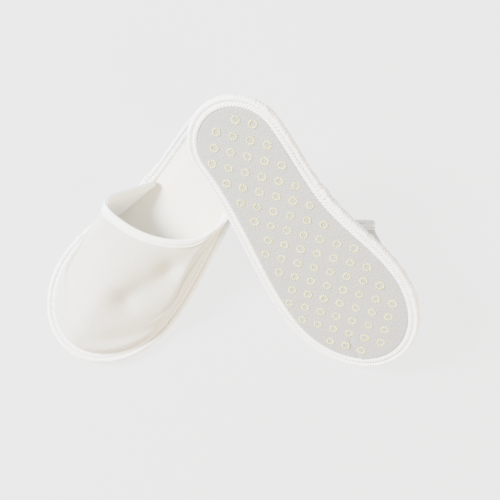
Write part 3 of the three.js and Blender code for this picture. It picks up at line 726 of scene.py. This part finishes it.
def vamp(slipper, materials):
    """The vamp's outer cloth and its lining. Returns the outer face and its normals, for the hem."""
    u, base, ridge = vamp_columns(slipper)
    along, from_tape = grid_lengths(base)
    relief = vamp_relief(slipper, base, u, along, from_tape, ridge)
    face = base + grid_normals(base) * relief[..., None]
    normals = grid_normals(face)
    foot_length = PERIMETER * 0.62
    uv = np.stack(np.broadcast_arrays((u * foot_length)[:, None], from_tape), -1) / 10

    pts, faces = shell(face, face - normals * CLOTH)
    outer = build(f"{slipper}_vamp_cloth", slipper, pts, faces, both_sides(uv), materials["outer"],
                  [f"{slipper}_vamp_outer", f"{slipper}_vamp_wadding"])
    fix_normals(outer)

    # the lining lies behind the wadding, and closes up to the outer cloth at the rim and at the tape
    from_rim = from_tape[:, -1:] - from_tape
    by_row = smooth(RIM_BORDER - 3, RIM_BORDER + 11, from_rim) * smooth(6, 16, from_tape)
    by_column = (smooth(0.0, 0.06, u) * smooth(1.0, 0.94, u))[:, None]
    depth = CLOTH + 0.25 + (WADDING + 0.5) * by_row * by_column
    depth = depth + 0.25 * ripple(along, from_tape, 24, 55) * by_row
    skin = from_distance(face - normals * depth[..., None], from_tape, LINING_START)
    back = from_distance(face - normals * (depth + 0.6)[..., None], from_tape, LINING_START)
    pts, faces = shell(skin, back)
    uv = both_sides(from_distance(uv, from_tape, LINING_START))
    lining = build(f"{slipper}_vamp_lining_cloth", slipper, pts, faces, uv, materials["lining"],
                   [f"{slipper}_vamp_lining"])
    fix_normals(lining)
    return face, normals


# The hem's closed outline across the rim: (up from the rim, out from the vamp's face).
HEM_SECTION = [
    (-7.0, 0.08), (-6.8, 0.55), (-6.1, 0.85), (-5.3, 0.7), (-4.75, 0.0), (-4.2, 0.65), (-3.0, 1.15),
    (-1.2, 1.25), (0.45, 1.05), (1.2, 0.5), (1.05, -0.2), (0.45, -0.65), (1.05, -1.1), (1.2, -1.75),
    (0.4, -2.4), (-1.2, -2.6), (-3.0, -2.45), (-4.2, -2.05), (-4.75, -1.75), (-5.3, -2.1), (-6.2, -2.2),
    (-6.9, -1.9), (-7.0, -1.45), (-6.0, -1.35), (-3.0, -1.3), (-0.2, -1.1), (-0.3, -0.3), (-3.0, -0.1),
    (-6.0, -0.05),
]


def hem(slipper, materials, face, normals):
    """The folded edge round the mouth, with its row of stitches and the slight pull between them."""
    rim, below = face[:, -1], face[:, -7]
    n = 700
    rim_length = distances(rim)
    end = rim_length[-1]
    s = np.linspace(0, end, n)
    at = sampled(rim, rim_length, s)
    up = unit(sampled(unit(rim - below), rim_length, s))
    out = unit(sampled(normals[:, -2], rim_length, s))
    out = unit(out - up * (out * up).sum(-1, keepdims=True))
    for _ in range(10):
        up[1:-1] = unit(0.5 * up[1:-1] + 0.25 * (up[:-2] + up[2:]))
        out[1:-1] = unit(0.5 * out[1:-1] + 0.25 * (out[:-2] + out[2:]))
    section = catmull(HEM_SECTION, closed=True, steps=3)
    over, off = section[:, 0][None], section[:, 1][None]
    ease = np.minimum(smooth(0, 6, s), smooth(end, end - 6, s))
    pull = np.sin(math.tau * s / STITCH_PITCH)[:, None]
    wave = 0.35 * ripple(s, 0 * s, 34, 61) + 0.12 * ripple(s, 0 * s, 11, 62)
    edge_wave = (0.25 * ripple(s, 0 * s, 26, 63))[:, None]
    rise = over + edge_wave * np.exp(-((over + HEM_DEPTH) / 2.5) ** 2)
    groove = np.exp(-((over + HEM_GROOVE) / 1.3) ** 2)
    lift = off - 0.10 * pull * groove * np.sign(off + 0.6) + (wave * ease)[:, None] * 0.5
    ring = at[:, None] + up[:, None] * rise[..., None] + out[:, None] * lift[..., None]
    count = section.shape[0]
    ends = [list(range(count)), list(range((n - 1) * count, n * count))[::-1]]
    faces = grid_faces(n, count, wrap_v=True).tolist() + ends
    uv = np.stack(np.broadcast_arrays((s / 10)[:, None], (np.arange(count) * 0.06)[None]), -1)
    piece = build(f"{slipper}_mouth_hem", slipper, ring, faces, uv, materials["tape"],
                  [f"{slipper}_vamp_hem"])
    fix_normals(piece)
    path = at + up * -HEM_GROOVE + out * (0.25 + 0.5 * wave * ease)[:, None]
    stitches(f"{slipper}_mouth_stitches", slipper, path, out, MOUTH_THREAD, materials,
             [f"{slipper}_hem_stitch"], closed=False)


# ---------------------------------------------------------------- materials

class Nodes:
    """A short way to write a material's nodes."""

    def __init__(self, name):
        self.material = bpy.data.materials.new(name)
        self.material.use_nodes = True
        self.tree = self.material.node_tree
        self.bsdf = self.tree.nodes["Principled BSDF"]

    def surface(self, **values):
        """Sets the cloth's own inputs: a plain value, or a node's output."""
        for key, value in values.items():
            self.feed(self.bsdf.inputs[key.replace("_", " ")], value)

    def feed(self, socket, value):
        if isinstance(value, bpy.types.NodeSocket):
            self.tree.links.new(value, socket)
        else:
            socket.default_value = value

    def add(self, kind, **values):
        node = self.tree.nodes.new("ShaderNode" + kind)
        for key, value in values.items():
            if hasattr(node, key):
                setattr(node, key, value)
            else:
                self.feed(node.inputs[key.replace("_", " ")], value)
        return node

    def uv(self):
        return self.add("UVMap", uv_map="cloth").outputs["UV"]

    def mapped(self, vector, **values):
        return self.add("Mapping", Vector=vector, **values).outputs[0]

    def math(self, operation, a, b):
        node = self.add("Math", operation=operation)
        self.feed(node.inputs[0], a)
        self.feed(node.inputs[1], b)
        return node.outputs[0]

    def weighted(self, a, share_a, b, share_b):
        return self.math("ADD", self.math("MULTIPLY", a, share_a), self.math("MULTIPLY", b, share_b))

    def mix(self, factor, a, b):
        node = self.add("Mix", data_type="RGBA")
        for index, value in ((0, factor), (6, (*a, 1)), (7, (*b, 1))):
            self.feed(node.inputs[index], value)
        return node.outputs[2]

    def noise(self, vector, scale, detail=2.0, roughness=0.5):
        node = self.add("TexNoise", Scale=scale, Detail=detail, Roughness=roughness, Vector=vector)
        return node.outputs["Fac"]

    def wave(self, vector, scale, direction="X", distortion=0.0):
        node = self.add("TexWave", Scale=scale, Distortion=distortion, wave_type="BANDS",
                        bands_direction=direction, Detail=1.0, Vector=vector)
        return node.outputs["Fac"]

    def ramp(self, value, low, high):
        return self.add("MapRange", Value=value, From_Min=low, From_Max=high).outputs["Result"]

    def bump(self, height, strength, distance):
        return self.add("Bump", Strength=strength, Distance=distance, Height=height).outputs["Normal"]


def fabric(name, light, dark, fibre, grain, weave=None, rough=0.92, sheen=0.25):
    """A matt cloth: fibre noise, sometimes a fine weave in the piece's own plane, uneven tone, a soft sheen.

    The grain and the weave are counted per centimetre; fibre is how strongly the relief shows.
    """
    blotch = 0.6      # centimetres
    n = Nodes(name)
    uv = n.uv()
    fine = n.noise(uv, grain, 3.0, 0.6)
    coarse = n.noise(uv, 1.0 / blotch, 2.0, 0.5)
    height = fine
    if weave:
        threads = n.math("MAXIMUM", n.wave(uv, weave, "X", 0.6), n.wave(uv, weave, "Y", 0.6))
        height = n.weighted(threads, 0.55, fine, 0.7)
    tone = n.weighted(n.ramp(height, 0.25, 0.95), 0.55, n.ramp(coarse, 0.3, 0.7), 0.45)
    roughness = n.math("ADD", n.math("MULTIPLY", fine, 0.08), rough - 0.06)
    n.surface(
        Base_Color=n.mix(tone, dark, light), Roughness=roughness,
        Sheen_Weight=sheen, Sheen_Roughness=0.6, Specular_IOR_Level=0.25, Normal=n.bump(height, fibre, 0.0003))
    return n.material


def sole_material():
    """Bonded fibres pressed with a fine diamond pattern."""
    n = Nodes("sole non-woven cloth")
    uv = n.uv()
    diamonds = n.mapped(uv, Rotation=(0, 0, math.radians(45)))
    dots = n.math("MULTIPLY", n.wave(diamonds, 1.7, "X"), n.wave(diamonds, 1.7, "Y"))
    fibres = n.noise(uv, 9, 5.0, 0.75)
    streaks = n.noise(n.mapped(uv, Scale=(26, 5, 1)), 1.0, 3.0, 0.6)
    height = n.weighted(fibres, 0.8, dots, -0.5)
    tone = n.weighted(n.ramp(fibres, 0.3, 0.7), 0.6, n.ramp(streaks, 0.3, 0.7), 0.6)
    tone = n.math("SUBTRACT", tone, n.math("MULTIPLY", dots, 0.25))
    n.surface(
        Base_Color=n.mix(tone, (0.13, 0.132, 0.122), (0.50, 0.505, 0.475)), Roughness=0.95,
        Specular_IOR_Level=0.2, Sheen_Weight=0.15, Normal=n.bump(height, 0.5, 0.0003))
    return n.material


def grip_material():
    """A soft translucent pale yellow print."""
    n = Nodes("grip print")
    fade = n.ramp(n.noise(n.uv(), 1.3, 2.0, 0.5), 0.3, 0.7)
    specks = n.noise(n.add("TexCoord").outputs["Object"], 2500, 2.0)
    n.surface(
        Base_Color=n.mix(fade, (0.74, 0.72, 0.34), (0.62, 0.60, 0.22)), Roughness=0.5, Subsurface_Weight=0.25,
        Subsurface_Radius=(0.0006, 0.0006, 0.0003), Normal=n.bump(specks, 0.3, 0.0002))
    return n.material


def make_materials():
    return {
        # The vamp cloth's beige is partly its own tone and partly painted warm shade; the cool key light keeps
        # its lit side neutral.
        "outer": fabric("vamp cloth with painted warm shade", (0.66, 0.635, 0.56), (0.56, 0.535, 0.46), 0.32, 30, weave=9.0),
        # The lining is partly its own white and partly painted light: it is made lighter to lift the shade on
        # the inner wall.
        "lining": fabric("lining cloth with painted light", (0.92, 0.90, 0.85), (0.86, 0.84, 0.79), 0.35, 26, weave=7.0),
        "insole": fabric("footbed cloth", (0.95, 0.89, 0.75), (0.90, 0.84, 0.70), 0.28, 30, weave=8.0),
        "tape": fabric("binding tape", (0.97, 0.965, 0.945), (0.89, 0.885, 0.86), 0.4, 24, weave=11.0,
                       rough=0.8, sheen=0.35),
        "thread": fabric("sewing thread", (0.97, 0.965, 0.945), (0.88, 0.87, 0.85), 0.3, 60,
                         rough=0.7, sheen=0.2),
        "outsole": sole_material(),
        "grip": grip_material(),
    }


# ---------------------------------------------------------------- the pair

materials = make_materials()
for slipper in SLIPPERS:
    insole(slipper, materials)
    outsole(slipper, materials)
    grips(slipper, materials)
    binding(slipper, materials)
    binding_stitches(slipper, materials)
    face, normals = vamp(slipper, materials)
    hem(slipper, materials, face, normals)

# ---------------------------------------------------------------- stage, light and camera

floor_mesh = bpy.data.meshes.new("floor")
floor_mesh.from_pydata([(-6, -6, 0), (6, -6, 0), (6, 6, 0), (-6, 6, 0)], [], [(0, 1, 2, 3)])
floor = bpy.data.objects.new("floor", floor_mesh)
bpy.context.scene.collection.objects.link(floor)
ground = Nodes("pale floor")
ground.surface(Base_Color=(0.15, 0.15, 0.15, 1), Roughness=1.0, Specular_IOR_Level=0.0,
               Emission_Color=(1, 1, 1, 1), Emission_Strength=3.2)
floor_mesh.materials.append(ground.material)

world = bpy.context.scene.world or bpy.data.worlds.new("studio")
bpy.context.scene.world = world
world.use_nodes = True
sky = world.node_tree.nodes["Background"].inputs
sky["Color"].default_value = (0.93, 0.95, 1.0, 1)
sky["Strength"].default_value = 0.95


def softbox(name, spot, size, power, colour):
    """A square light at a spot in metres, aimed at the pair's middle."""
    lamp = bpy.data.lights.new(name, "AREA")
    lamp.shape = "SQUARE"
    lamp.size = size
    lamp.energy = power
    lamp.color = colour
    obj = bpy.data.objects.new(name, lamp)
    obj.location = spot
    obj.rotation_euler = (-Vector(spot)).to_track_quat("-Z", "Y").to_euler()
    bpy.context.scene.collection.objects.link(obj)


softbox("key", (-1.75, 0.55, 1.45), size=0.6, power=360, colour=(0.93, 0.97, 1.0))
softbox("warm fill", (1.2, -1.2, 1.2), size=1.0, power=95, colour=(1.0, 0.76, 0.40))

FROM_ABOVE = math.radians(86)
DISTANCE = 0.7
AIM = Vector((0.020343, -0.016370, 0))
camera_data = bpy.data.cameras.new("camera")
camera = bpy.data.objects.new("camera", camera_data)
bpy.context.scene.collection.objects.link(camera)
camera_data.sensor_width = 36.0
camera_data.lens = 53.2
camera_data.clip_start = 0.05
camera.location = AIM + DISTANCE * Vector((0, -math.cos(FROM_ABOVE), math.sin(FROM_ABOVE)))
camera.rotation_euler = (math.pi / 2 - FROM_ABOVE, 0, 0)
bpy.context.scene.camera = camera
